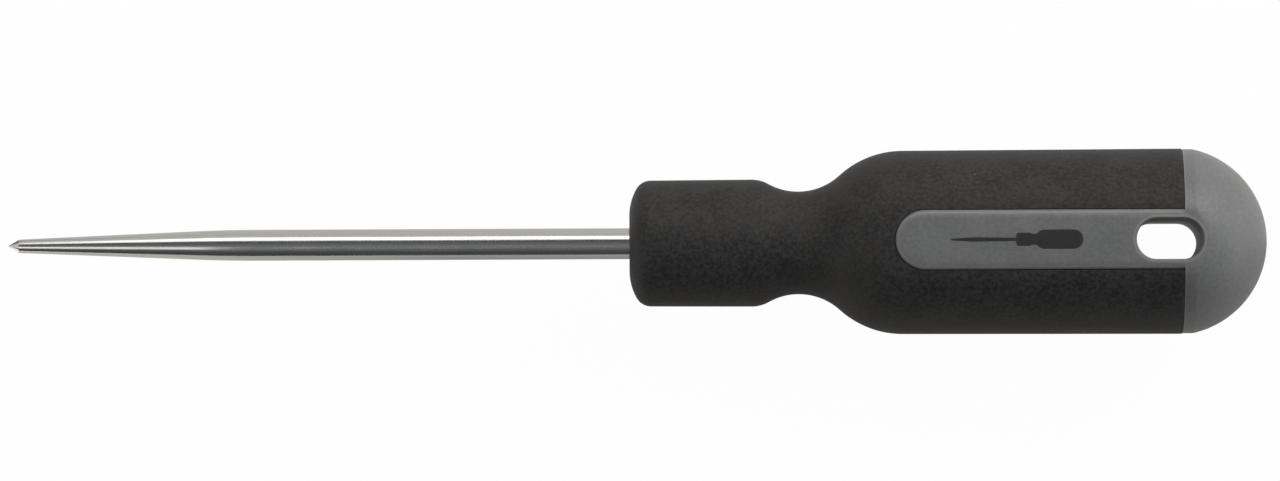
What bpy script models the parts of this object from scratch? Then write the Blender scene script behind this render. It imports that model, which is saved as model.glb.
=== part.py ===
"""Hand awl: a round, tapered steel blade in a two-material handle with a hang slot.

The awl lies on its back panel along +X, with the blade's tip at -X and the handle's dome at +X.
All sizes are in metres. A station is a distance along the awl from the collar's front face,
positive towards the dome and negative towards the tip. Profiles are (radius, station) pairs.
"""

import math

import bmesh
import bpy

# Blade
BLADE_REACH = 0.1000  # tip to the collar's front face
BLADE_RADIUS = 0.0025
CONE_LENGTH = 0.0350  # tip to where the slender cone would meet the full round
CONE_BLEND = 0.0050  # half length of the soft shoulder between cone and shaft
POINT_LENGTH = 0.0017
POINT_RADIUS = 0.00108  # where the steep point meets the slender cone
TANG_LENGTH = 0.0620
TANG_CHAMFER = 0.0005
WING_SETBACK = 0.0120  # middle of the wings ahead of the tang's end
WING_LENGTH = 0.0080
WING_SPAN = 0.0086
WING_THICKNESS = 0.0024
WING_CHAMFER = 0.0006

# Outline of the grip
HANDLE_LENGTH = 0.1026
COLLAR_FRONT_RADIUS = 0.01014
COLLAR_BACK_RADIUS = 0.01023
FACE_CROWN_RADIUS = 0.0088  # soft round from the flat face to its corner
FACE_CROWN_TURN = math.radians(29.3)
FRONT_CORNER_RADIUS = 0.0027
COLLAR_EDGE_RADIUS = 0.0056
NECK_STATION = 0.0272
NECK_RADIUS = 0.00827
NECK_ARC_RADIUS = 0.00985
SHOULDER_ARC_RADIUS = 0.0151
BODY_FRONT_RADIUS = 0.01476
BODY_BACK_RADIUS = 0.01492

# Rubber over the hard body
RUBBER_WALL = 0.0020
FRONT_WALL = 0.0030
COLLAR_GROOVE_STATION = 0.0120  # rings that key the rubber on the hard body
SHOULDER_GROOVE_INSET = 0.0121  # behind the shoulder's crest
SEAM_GROOVE_INSET = 0.0172  # ahead of the seam
GROOVE_WIDTH = 0.0018
GROOVE_DEPTH = 0.0008

# End cap, flats and panels of the hard body
CAP_LENGTH = 0.0137  # seam with the rubber to the dome's top
CAP_RADIUS = 0.01482
CAP_EDGE_RADIUS = 0.00025
DOME_RADIUS = 0.01515
FLAT_HEIGHT = 0.01425  # flats ground off the round, from the axis
PANEL_RISE = 0.00010  # panel's face over those flats
PANEL_LEAD = 0.00144  # panel's rounded end ahead of the shoulder's crest
PANEL_WIDTH = 0.0096
PANEL_LAP = 0.00025  # panel's end past the seam, on the cap
PANEL_EDGE_RADIUS = 0.0006
PANEL_ROOT = 0.0010  # depth of the panel's foot in the hard body

# Hang slot
SLOT_INSET = 0.0161  # middle of the slot ahead of the dome's top
SLOT_LENGTH = 0.01065
SLOT_WIDTH = 0.00645
SLOT_LIP_RADIUS = 0.00045

# Core on the tang
CORE_END_WALL = 0.0040  # past the tang's end
CORE_NECK_RADIUS = 0.0042
CORE_BULB_RADIUS = 0.0074
CORE_BULB_LEAD = 0.0059  # bulb's front ahead of the shoulder's crest
CORE_CONE_LENGTH = 0.0040
CORE_GROOVE_INSET = 0.0067  # from either end of the bulb

# Fits and roundness
CLEARANCE = 0.0003  # between neighbouring pieces
OVERSHOOT = 0.0020  # how far a cutter reaches past what it cuts
HANDLE_STEPS = 56
PANEL_END_STEPS = 13  # odd, so a short straight edge ends the panel and it can be stood on
CORE_STEPS = 32
BLADE_STEPS = 32

PANEL_HEIGHT = FLAT_HEIGHT + PANEL_RISE
BODY_START = FRONT_WALL + CLEARANCE
SUBSTRATE_INSET = RUBBER_WALL + CLEARANCE
SEAM_STATION = HANDLE_LENGTH - CAP_LENGTH
SLOT_STATION = HANDLE_LENGTH - SLOT_INSET
WING_STATION = TANG_LENGTH - WING_SETBACK
CORE_END = TANG_LENGTH + CORE_END_WALL


def clear_scene():
    """Remove every object of the open file."""
    for item in list(bpy.data.objects):
        bpy.data.objects.remove(item, do_unlink=True)


def new_collection(name):
    """Return a new collection linked to the scene."""
    collection = bpy.data.collections.new(name)
    bpy.context.scene.collection.children.link(collection)
    return collection


def new_material(name, colour, roughness, metallic):
    """Return a Principled material with one colour."""
    material = bpy.data.materials.new(name)
    material.use_nodes = True
    shader = material.node_tree.nodes["Principled BSDF"]
    shader.inputs["Base Color"].default_value = (*colour, 1.0)
    shader.inputs["Roughness"].default_value = roughness
    shader.inputs["Metallic"].default_value = metallic
    material.diffuse_color = (*colour, 1.0)
    return material


def arc(centre, radius, start, end, steps):
    """Return profile points on a circle; angle 0 points away from the axis, +90 to the dome."""
    points = []
    for index in range(steps + 1):
        angle = start + (end - start) * index / steps
        points.append((centre[0] + radius * math.cos(angle), centre[1] + radius * math.sin(angle)))
    return points


def direction(from_point, to_point):
    """Return the angle from one profile point to another, as arc() counts it."""
    return math.atan2(to_point[1] - from_point[1], to_point[0] - from_point[0])


def centre_beside(neck_centre, centre_radius, reach, side):
    """Return the centre at the given radius whose arc touches the neck's arc, on one side of it."""
    rise = neck_centre[0] - centre_radius
    return (centre_radius, neck_centre[1] + side * math.sqrt(reach**2 - rise**2))


NECK_CENTRE = (NECK_RADIUS + NECK_ARC_RADIUS, NECK_STATION)
SHOULDER_CENTRE = centre_beside(
    NECK_CENTRE,
    BODY_FRONT_RADIUS - SHOULDER_ARC_RADIUS,
    NECK_ARC_RADIUS + SHOULDER_ARC_RADIUS,
    1,
)
COLLAR_EDGE_CENTRE = centre_beside(
    NECK_CENTRE,
    COLLAR_BACK_RADIUS - COLLAR_EDGE_RADIUS,
    NECK_ARC_RADIUS + COLLAR_EDGE_RADIUS,
    -1,
)
FRONT_CORNER_CENTRE = (
    COLLAR_FRONT_RADIUS - FRONT_CORNER_RADIUS,
    FACE_CROWN_RADIUS - (FACE_CROWN_RADIUS - FRONT_CORNER_RADIUS) * math.cos(FACE_CROWN_TURN),
)
FACE_CROWN_CENTRE = (
    FRONT_CORNER_CENTRE[0] - (FACE_CROWN_RADIUS - FRONT_CORNER_RADIUS) * math.sin(FACE_CROWN_TURN),
    FACE_CROWN_RADIUS,
)
PANEL_STATION = SHOULDER_CENTRE[1] - PANEL_LEAD
CORE_BULB_STATION = SHOULDER_CENTRE[1] - CORE_BULB_LEAD
GROOVE_STATIONS = (
    COLLAR_GROOVE_STATION,
    SHOULDER_CENTRE[1] + SHOULDER_GROOVE_INSET,
    SEAM_STATION - SEAM_GROOVE_INSET,
)
CORE_GROOVE_STATIONS = (CORE_BULB_STATION + CORE_GROOVE_INSET, CORE_END - CORE_GROOVE_INSET)


def line_radius(station, first, last):
    """Return the radius at a station on the straight line between two profile points."""
    share = (station - first[1]) / (last[1] - first[1])
    return first[0] + (last[0] - first[0]) * share


def skin_radius(station):
    """Return the grip's outer radius at a station behind its front corner."""
    shoulder_angle = direction(NECK_CENTRE, SHOULDER_CENTRE)
    edge_angle = direction(COLLAR_EDGE_CENTRE, NECK_CENTRE)
    shoulder_start = NECK_CENTRE[1] + NECK_ARC_RADIUS * math.sin(shoulder_angle)
    edge_end = COLLAR_EDGE_CENTRE[1] + COLLAR_EDGE_RADIUS * math.sin(edge_angle)
    if station >= SHOULDER_CENTRE[1]:
        start = (BODY_FRONT_RADIUS, SHOULDER_CENTRE[1])
        return line_radius(station, start, (BODY_BACK_RADIUS, SEAM_STATION))
    if station >= shoulder_start:
        along = station - SHOULDER_CENTRE[1]
        return SHOULDER_CENTRE[0] + math.sqrt(SHOULDER_ARC_RADIUS**2 - along**2)
    if station >= edge_end:
        along = station - NECK_CENTRE[1]
        return NECK_CENTRE[0] - math.sqrt(NECK_ARC_RADIUS**2 - along**2)
    if station >= COLLAR_EDGE_CENTRE[1]:
        along = station - COLLAR_EDGE_CENTRE[1]
        return COLLAR_EDGE_CENTRE[0] + math.sqrt(COLLAR_EDGE_RADIUS**2 - along**2)
    start = (COLLAR_FRONT_RADIUS, FRONT_CORNER_CENTRE[1])
    return line_radius(station, start, (COLLAR_BACK_RADIUS, COLLAR_EDGE_CENTRE[1]))


def skin_profile():
    """Return the grip's outside, from the seam to the rim of the blade's hole."""
    shoulder_to_neck = direction(SHOULDER_CENTRE, NECK_CENTRE)
    neck_to_shoulder = direction(NECK_CENTRE, SHOULDER_CENTRE)
    edge_to_neck = direction(COLLAR_EDGE_CENTRE, NECK_CENTRE)
    neck_to_edge = edge_to_neck + math.pi
    corner_end = FACE_CROWN_TURN - math.pi / 2
    end = SEAM_STATION - CLEARANCE
    points = [(skin_radius(end), end)]
    points += arc(SHOULDER_CENTRE, SHOULDER_ARC_RADIUS, 0, shoulder_to_neck, 7)
    points += arc(NECK_CENTRE, NECK_ARC_RADIUS, neck_to_shoulder, neck_to_edge, 9)[1:]
    points += arc(COLLAR_EDGE_CENTRE, COLLAR_EDGE_RADIUS, edge_to_neck, 0, 3)[1:]
    points += arc(FRONT_CORNER_CENTRE, FRONT_CORNER_RADIUS, 0, corner_end, 5)
    points += arc(FACE_CROWN_CENTRE, FACE_CROWN_RADIUS, corner_end, -math.pi / 2, 3)[1:]
    points.append((BLADE_RADIUS + CLEARANCE, 0.0))
    return points


def with_grooves(stations, grooves, half_width):
    """Return (station, in_groove) pairs: the plain stations, and both walls of each ring groove."""
    pairs = [
        (station, False)
        for station in stations
        if all(abs(station - groove) > half_width + CLEARANCE for groove in grooves)
    ]
    for groove in grooves:
        pairs += [(groove - half_width, False), (groove - half_width, True)]
        pairs += [(groove + half_width, True), (groove + half_width, False)]
    return sorted(pairs, key=lambda pair: (pair[0], pair_order(pair, grooves)))


def pair_order(pair, grooves):
    """Return the order of two points on one groove wall: down on the near wall, up on the far."""
    station, in_groove = pair
    near_wall = any(station < groove and groove - station < GROOVE_WIDTH for groove in grooves)
    return int(in_groove) if near_wall else int(not in_groove)


def under_skin_profile(inset, start, end, half_width):
    """Return a surface one inset below the grip's skin, with its ring grooves, from start to end."""
    span = SHOULDER_CENTRE[1] - COLLAR_EDGE_CENTRE[1]
    stations = [start]
    stations += [COLLAR_EDGE_CENTRE[1] + span * index / 7 for index in range(8)]
    stations.append(end)
    profile = []
    for station, in_groove in with_grooves(stations, GROOVE_STATIONS, half_width):
        depth = GROOVE_DEPTH if in_groove else 0.0
        profile.append((skin_radius(station) - inset - depth, station))
    return profile


def grip_profile():
    """Return the rubber grip's closed section."""
    end = SEAM_STATION - CLEARANCE
    half_width = GROOVE_WIDTH / 2 - CLEARANCE
    inside = under_skin_profile(RUBBER_WALL, FRONT_WALL, end, half_width)
    return skin_profile() + [(BLADE_RADIUS + CLEARANCE, FRONT_WALL)] + inside


def core_outside(clearance):
    """Return the core's outside from its end to its front face, grown by a clearance."""
    bulb = CORE_BULB_RADIUS + clearance
    neck = CORE_NECK_RADIUS + clearance
    cone_foot = CORE_BULB_STATION - CORE_CONE_LENGTH
    half_width = GROOVE_WIDTH / 2 - clearance
    end = CORE_END + clearance
    points = [(bulb, end)]
    for groove in sorted(CORE_GROOVE_STATIONS, reverse=True):
        points.append((bulb, groove + half_width))
        points.append((bulb - GROOVE_DEPTH, groove + half_width))
        points.append((bulb - GROOVE_DEPTH, groove - half_width))
        points.append((bulb, groove - half_width))
    points += [(bulb, CORE_BULB_STATION), (neck, cone_foot), (neck, BODY_START)]
    return points


def body_profile():
    """Return the hard body's section: dome, cap land, substrate and the core's cavity."""
    dome_centre = (0.0, HANDLE_LENGTH - DOME_RADIUS)
    dome_foot = math.acos(CAP_RADIUS / DOME_RADIUS)
    edge_centre = (CAP_RADIUS - CAP_EDGE_RADIUS, SEAM_STATION + CAP_EDGE_RADIUS)
    points = [(0.0, HANDLE_LENGTH)]
    points += arc(dome_centre, DOME_RADIUS, math.pi / 2, dome_foot, 11)[1:]
    points += arc(edge_centre, CAP_EDGE_RADIUS, 0, -math.pi / 2, 2)
    substrate = under_skin_profile(SUBSTRATE_INSET, BODY_START, SEAM_STATION, GROOVE_WIDTH / 2)
    points += reversed(substrate)
    cavity = core_outside(CLEARANCE)
    points += reversed(cavity)
    points.append((0.0, cavity[0][1]))
    return points


def core_profile():
    """Return the core's section: its outside and the blind bore that holds the tang."""
    outside = core_outside(0.0)
    bore = BLADE_RADIUS + CLEARANCE
    bore_end = TANG_LENGTH + CLEARANCE
    points = [(0.0, outside[0][1])]
    points += outside
    points += [(bore, BODY_START), (bore, bore_end), (0.0, bore_end)]
    return points


def soft_corner(before, corner, after, steps):
    """Return points of the curve that leaves and meets the two lines at a corner tangentially."""
    points = []
    for index in range(steps + 1):
        share = index / steps
        weights = ((1 - share) ** 2, 2 * share * (1 - share), share**2)
        radius = sum(w * p[0] for w, p in zip(weights, (before, corner, after)))
        station = sum(w * p[1] for w, p in zip(weights, (before, corner, after)))
        points.append((radius, station))
    return points


def blade_profile():
    """Return the blade's section from the tang's end to the tip."""
    tip = -BLADE_REACH
    point_top = (POINT_RADIUS, tip + POINT_LENGTH)
    corner = (BLADE_RADIUS, tip + CONE_LENGTH)
    cone_end = corner[1] - CONE_BLEND
    before = (BLADE_RADIUS, corner[1] + CONE_BLEND)
    after = (line_radius(cone_end, point_top, corner), cone_end)
    points = [(0.0, TANG_LENGTH), (BLADE_RADIUS - TANG_CHAMFER, TANG_LENGTH)]
    points.append((BLADE_RADIUS, TANG_LENGTH - TANG_CHAMFER))
    points += soft_corner(before, corner, after, 5)
    points += [point_top, (0.0, tip)]
    return points


def revolve(name, profile, steps, closed, collection):
    """Return an object with a profile turned about its Z axis, listed from its top down."""
    edges = [(index, index + 1) for index in range(len(profile) - 1)]
    if closed:
        edges.append((len(profile) - 1, 0))
    mesh = bpy.data.meshes.new(name)
    mesh.from_pydata([(radius, 0.0, station) for radius, station in profile], edges, [])
    piece = bpy.data.objects.new(name, mesh)
    collection.objects.link(piece)
    screw = piece.modifiers.new("turned", "SCREW")
    screw.axis = "Z"
    screw.steps = steps
    screw.render_steps = steps
    screw.use_merge_vertices = True
    screw.merge_threshold = 0.00001
    return piece


def rounded_outline(front, back, width, round_back, steps):
    """Return the (width, station) outline of a strip with a full-radius front end."""
    radius = width / 2
    points = []
    for index in range(steps + 1):
        angle = math.pi * index / steps
        points.append((radius * math.cos(angle), front + radius - radius * math.sin(angle)))
    if not round_back:
        return points + [(-radius, back), (radius, back)]
    for index in range(steps + 1):
        angle = math.pi + math.pi * index / steps
        points.append((radius * math.cos(angle), back - radius - radius * math.sin(angle)))
    return points


def new_mesh_object(name, shape, collection):
    """Return an object that holds a finished bmesh, with its faces pointing out."""
    bmesh.ops.recalc_face_normals(shape, faces=shape.faces)
    mesh = bpy.data.meshes.new(name)
    shape.to_mesh(mesh)
    shape.free()
    piece = bpy.data.objects.new(name, mesh)
    collection.objects.link(piece)
    return piece


def strip_block(name, outline, low, high, edge_radius, collection):
    """Return a block over an outline, from low to high over the axis, with its top edge rolled."""
    shape = bmesh.new()
    corners = [shape.verts.new((low, across, station)) for across, station in outline]
    base = shape.faces.new(corners)
    grown = bmesh.ops.extrude_face_region(shape, geom=[base])
    top = [item for item in grown["geom"] if isinstance(item, bmesh.types.BMVert)]
    bmesh.ops.translate(shape, verts=top, vec=(high - low, 0.0, 0.0))
    if edge_radius > 0:
        rim = [edge for edge in shape.edges if all(vert in top for vert in edge.verts)]
        bmesh.ops.bevel(
            shape,
            geom=rim,
            offset=edge_radius,
            offset_type="OFFSET",
            segments=3,
            profile=0.5,
            affect="EDGES",
            clamp_overlap=False,
        )
    return new_mesh_object(name, shape, collection)


def box(name, low, high, collection):
    """Return a box between two corners."""
    shape = bmesh.new()
    bmesh.ops.create_cube(shape, size=1.0)
    size = [top - bottom for bottom, top in zip(low, high)]
    middle = [(top + bottom) / 2 for bottom, top in zip(low, high)]
    bmesh.ops.scale(shape, verts=shape.verts, vec=size)
    bmesh.ops.translate(shape, verts=shape.verts, vec=middle)
    return new_mesh_object(name, shape, collection)


def slot_cutter(collection):
    """Return the hang slot's cutter, flared at both panels to leave rolled lips."""
    side = []
    for degrees in (0, 30, 60):
        angle = math.radians(degrees)
        flare = SLOT_LIP_RADIUS * (1 - math.cos(angle))
        side.append((PANEL_HEIGHT - SLOT_LIP_RADIUS * (1 - math.sin(angle)), flare))
    slope = (PANEL_HEIGHT - side[-1][0]) / (SLOT_LIP_RADIUS - side[-1][1])
    side.append((PANEL_HEIGHT + slope * SLOT_LIP_RADIUS, 2 * SLOT_LIP_RADIUS))
    side.append((PANEL_HEIGHT + OVERSHOOT, 2 * SLOT_LIP_RADIUS))
    levels = [(-height, flare) for height, flare in reversed(side)] + side
    shape = bmesh.new()
    loops = []
    for height, flare in levels:
        half_length = SLOT_LENGTH / 2 + flare
        outline = rounded_outline(
            SLOT_STATION - half_length, SLOT_STATION + half_length, SLOT_WIDTH + 2 * flare, True, 10
        )
        ring = [shape.verts.new((height, across, station)) for across, station in outline]
        pairs = zip(ring, ring[1:] + ring[:1])
        loops.append([shape.edges.new(pair) for pair in pairs])
        if height in (levels[0][0], levels[-1][0]):
            shape.faces.new(ring)
    for first, second in zip(loops, loops[1:]):
        bmesh.ops.bridge_loops(shape, edges=first + second)
    return new_mesh_object("slot_cutter", shape, collection)


def wing(name, clearance, collection):
    """Return the tang's flat swaged wings, or their pocket when grown by a clearance."""
    half = (
        WING_THICKNESS / 2 + clearance,
        WING_SPAN / 2 + clearance,
        WING_LENGTH / 2 + clearance,
    )
    low = (-half[0], -half[1], WING_STATION - half[2])
    high = (half[0], half[1], WING_STATION + half[2])
    piece = box(name, low, high, collection)
    shape = bmesh.new()
    shape.from_mesh(piece.data)
    ends = [
        edge
        for edge in shape.edges
        if abs(edge.verts[0].co.y - edge.verts[1].co.y) < CLEARANCE
        and abs(edge.verts[0].co.z - edge.verts[1].co.z) < CLEARANCE
    ]
    bmesh.ops.bevel(
        shape,
        geom=ends,
        offset=WING_CHAMFER,
        offset_type="OFFSET",
        segments=1,
        profile=0.5,
        affect="EDGES",
    )
    shape.to_mesh(piece.data)
    shape.free()
    return piece


def combine(piece, other, operation):
    """Add a Boolean modifier to a piece."""
    boolean = piece.modifiers.new(f"{operation.lower()}_{other.name}", "BOOLEAN")
    boolean.operation = operation
    boolean.solver = "EXACT"
    boolean.object = other


def finish(piece, material, sharp_angle):
    """Make a piece's modifiers its mesh, smooth its round faces and give it its material."""
    graph = bpy.context.evaluated_depsgraph_get()
    mesh = bpy.data.meshes.new_from_object(piece.evaluated_get(graph), depsgraph=graph)
    mesh.name = piece.name
    piece.modifiers.clear()
    piece.data = mesh
    shape = bmesh.new()
    shape.from_mesh(mesh)
    bmesh.ops.dissolve_degenerate(shape, dist=0.000002, edges=shape.edges)
    shape.to_mesh(mesh)
    shape.free()
    mesh.materials.clear()
    mesh.materials.append(material)
    mesh.shade_smooth()
    mesh.set_sharp_from_angle(angle=sharp_angle)


def build():
    """Build the awl's four pieces and place them by one empty on the handle's axis."""
    clear_scene()
    parts = new_collection("awl")
    cutters = new_collection("cutters")
    steel = new_material("steel", (0.60, 0.60, 0.61), 0.22, 1.0)
    core_plastic = new_material("core_plastic", (0.09, 0.09, 0.09), 0.55, 0.0)
    grey_plastic = new_material("grey_plastic", (0.165, 0.168, 0.165), 0.48, 0.0)
    rubber = new_material("rubber", (0.032, 0.032, 0.031), 0.75, 0.0)

    blade = revolve("blade", blade_profile(), BLADE_STEPS, False, parts)
    core = revolve("tang_core", core_profile(), CORE_STEPS, False, parts)
    body = revolve("handle_body", body_profile(), HANDLE_STEPS, False, parts)
    grip = revolve("rubber_grip", grip_profile(), HANDLE_STEPS, True, parts)

    combine(blade, wing("wing_form", 0.0, cutters), "UNION")
    combine(core, wing("wing_pocket", CLEARANCE, cutters), "DIFFERENCE")

    panel_end = SEAM_STATION + PANEL_LAP
    panel = rounded_outline(PANEL_STATION, panel_end, PANEL_WIDTH, False, PANEL_END_STEPS)
    window = rounded_outline(
        PANEL_STATION - CLEARANCE,
        SEAM_STATION + OVERSHOOT,
        PANEL_WIDTH + 2 * CLEARANCE,
        False,
        PANEL_END_STEPS,
    )
    substrate_radius = skin_radius(PANEL_STATION) - SUBSTRATE_INSET
    panel_foot = math.sqrt(substrate_radius**2 - (PANEL_WIDTH / 2) ** 2) - PANEL_ROOT
    past_skin = BODY_BACK_RADIUS + OVERSHOOT
    for side, turn in (("front", 0.0), ("back", math.pi)):
        flat = box(
            f"flat_{side}",
            (FLAT_HEIGHT, -past_skin, NECK_STATION),
            (past_skin, past_skin, HANDLE_LENGTH + OVERSHOOT),
            cutters,
        )
        raised = strip_block(
            f"panel_{side}", panel, panel_foot, PANEL_HEIGHT, PANEL_EDGE_RADIUS, cutters
        )
        opening = strip_block(f"window_{side}", window, panel_foot, past_skin, 0.0, cutters)
        for cutter in (flat, raised, opening):
            cutter.rotation_euler = (0.0, 0.0, turn)
        combine(body, flat, "DIFFERENCE")
        combine(grip, flat, "DIFFERENCE")
        combine(body, raised, "UNION")
        combine(grip, opening, "DIFFERENCE")
    combine(body, slot_cutter(cutters), "DIFFERENCE")

    axis = bpy.data.objects.new("awl_axis", None)
    parts.objects.link(axis)
    for piece in (blade, core, body, grip, *cutters.objects):
        piece.parent = axis
    axis.location = ((BLADE_REACH - HANDLE_LENGTH) / 2, 0.0, PANEL_HEIGHT)
    axis.rotation_euler = (math.pi, -math.pi / 2, 0.0)
    bpy.context.view_layer.update()

    finish(blade, steel, math.radians(25))
    finish(core, core_plastic, math.radians(35))
    finish(body, grey_plastic, math.radians(30))
    finish(grip, rubber, math.radians(30))
    for cutter in cutters.objects:
        cutter.display_type = "WIRE"
        cutter.hide_render = True


if __name__ == "__main__":
    build()
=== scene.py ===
"""The awl dressed for its picture: fine pieces, procedural finishes, a soft studio and a camera.

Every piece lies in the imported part's own frame: +X along the blade towards the dome, +Z up out
of the front panel, metres throughout. A station is a distance from the collar's front face along
+X. A colour's numbers are linear.
"""

import logging
import math
from dataclasses import dataclass
from enum import Enum
from typing import Sequence

import bmesh
import bpy
from mathutils import Matrix, Vector


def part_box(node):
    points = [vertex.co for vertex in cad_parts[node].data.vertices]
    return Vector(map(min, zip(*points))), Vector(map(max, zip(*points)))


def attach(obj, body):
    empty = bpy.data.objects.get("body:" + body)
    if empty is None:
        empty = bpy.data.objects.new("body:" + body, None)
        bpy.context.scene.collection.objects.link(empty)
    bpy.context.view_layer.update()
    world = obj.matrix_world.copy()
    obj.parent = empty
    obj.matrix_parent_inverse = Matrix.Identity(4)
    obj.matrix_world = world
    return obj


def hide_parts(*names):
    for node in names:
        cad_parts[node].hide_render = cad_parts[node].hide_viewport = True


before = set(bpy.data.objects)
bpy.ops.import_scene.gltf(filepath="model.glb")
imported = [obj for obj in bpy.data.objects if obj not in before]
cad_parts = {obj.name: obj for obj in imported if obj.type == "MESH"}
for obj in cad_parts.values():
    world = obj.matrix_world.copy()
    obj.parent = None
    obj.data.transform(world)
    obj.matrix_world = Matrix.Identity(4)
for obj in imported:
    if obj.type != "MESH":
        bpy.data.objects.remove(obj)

LOG = logging.getLogger("awl")
ROOT = "root"

# A point is (radius or distance across, station), a span is (start, end), and a ramp's stop is
# (position, level). A feed is what a node's input takes: a source, or a constant.
Point = tuple[float, float]
Span = tuple[float, float]
Stop = tuple[float, float]
Colour = tuple[float, float, float]
Feed = bpy.types.NodeSocket | float | Sequence[float]

UNIT: Span = (0.0, 1.0)
WHITE: Colour = (1.0, 1.0, 1.0)


class Slot(Enum):
    """The record's material slots, named for each new piece and passed to register."""

    STEEL = "steel"
    GREY = "grey_plastic"
    RUBBER = "rubber"


class BooleanKind(Enum):
    """What a second shape does to the first."""

    JOIN = "UNION"
    CUT = "DIFFERENCE"


@dataclass(frozen=True)
class Datum:
    """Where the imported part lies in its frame.

    Args:
        face_x: Collar's front face.
        axis_z: Height of the blade's axis.
        tip_x: Blade's tip.
        dome_x: Dome's top.
        panel_z: Height of the front panel's face.
    """

    face_x: float
    axis_z: float
    tip_x: float
    dome_x: float
    panel_z: float

    @classmethod
    def from_frame(cls) -> "Datum":
        """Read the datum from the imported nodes.

        Returns:
            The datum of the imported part.
        """
        blade_low, blade_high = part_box("blade")
        grip_low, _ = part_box("rubber_grip")
        _, body_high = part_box("handle_body")
        return cls(
            face_x=grip_low[0],
            axis_z=(blade_low[2] + blade_high[2]) / 2,
            tip_x=blade_low[0],
            dome_x=body_high[0],
            panel_z=body_high[2],
        )

    @property
    def reach(self) -> float:
        """Return the blade's length in front of the collar."""
        return self.face_x - self.tip_x

    @property
    def handle_length(self) -> float:
        """Return the handle's length."""
        return self.dome_x - self.face_x

    def place(self) -> Matrix:
        """Return the move from the awl's own axis to the frame."""
        return Matrix.Translation((self.face_x, 0.0, self.axis_z))


def arc(centre: Point, radius: float, start: float, end: float, steps: int) -> list[Point]:
    """Return (radius, station) points on a circle.

    Args:
        centre: Circle's centre as (radius, station).
        radius: Circle's radius.
        start: First angle; 0 points away from the axis and +90 degrees to the dome.
        end: Last angle.
        steps: Number of chords.

    Returns:
        The points from start to end.
    """
    points = []
    for index in range(steps + 1):
        angle = start + (end - start) * index / steps
        points.append((centre[0] + radius * math.cos(angle), centre[1] + radius * math.sin(angle)))
    return points


def direction(here: Point, there: Point) -> float:
    """Return the angle from one point to another, as arc() counts it."""
    return math.atan2(there[1] - here[1], there[0] - here[0])


def crown_drop(across: float, radius: float) -> float:
    """Return how far a crown of some radius lies below its middle, at a distance across it."""
    return across * across / (2 * radius)


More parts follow.
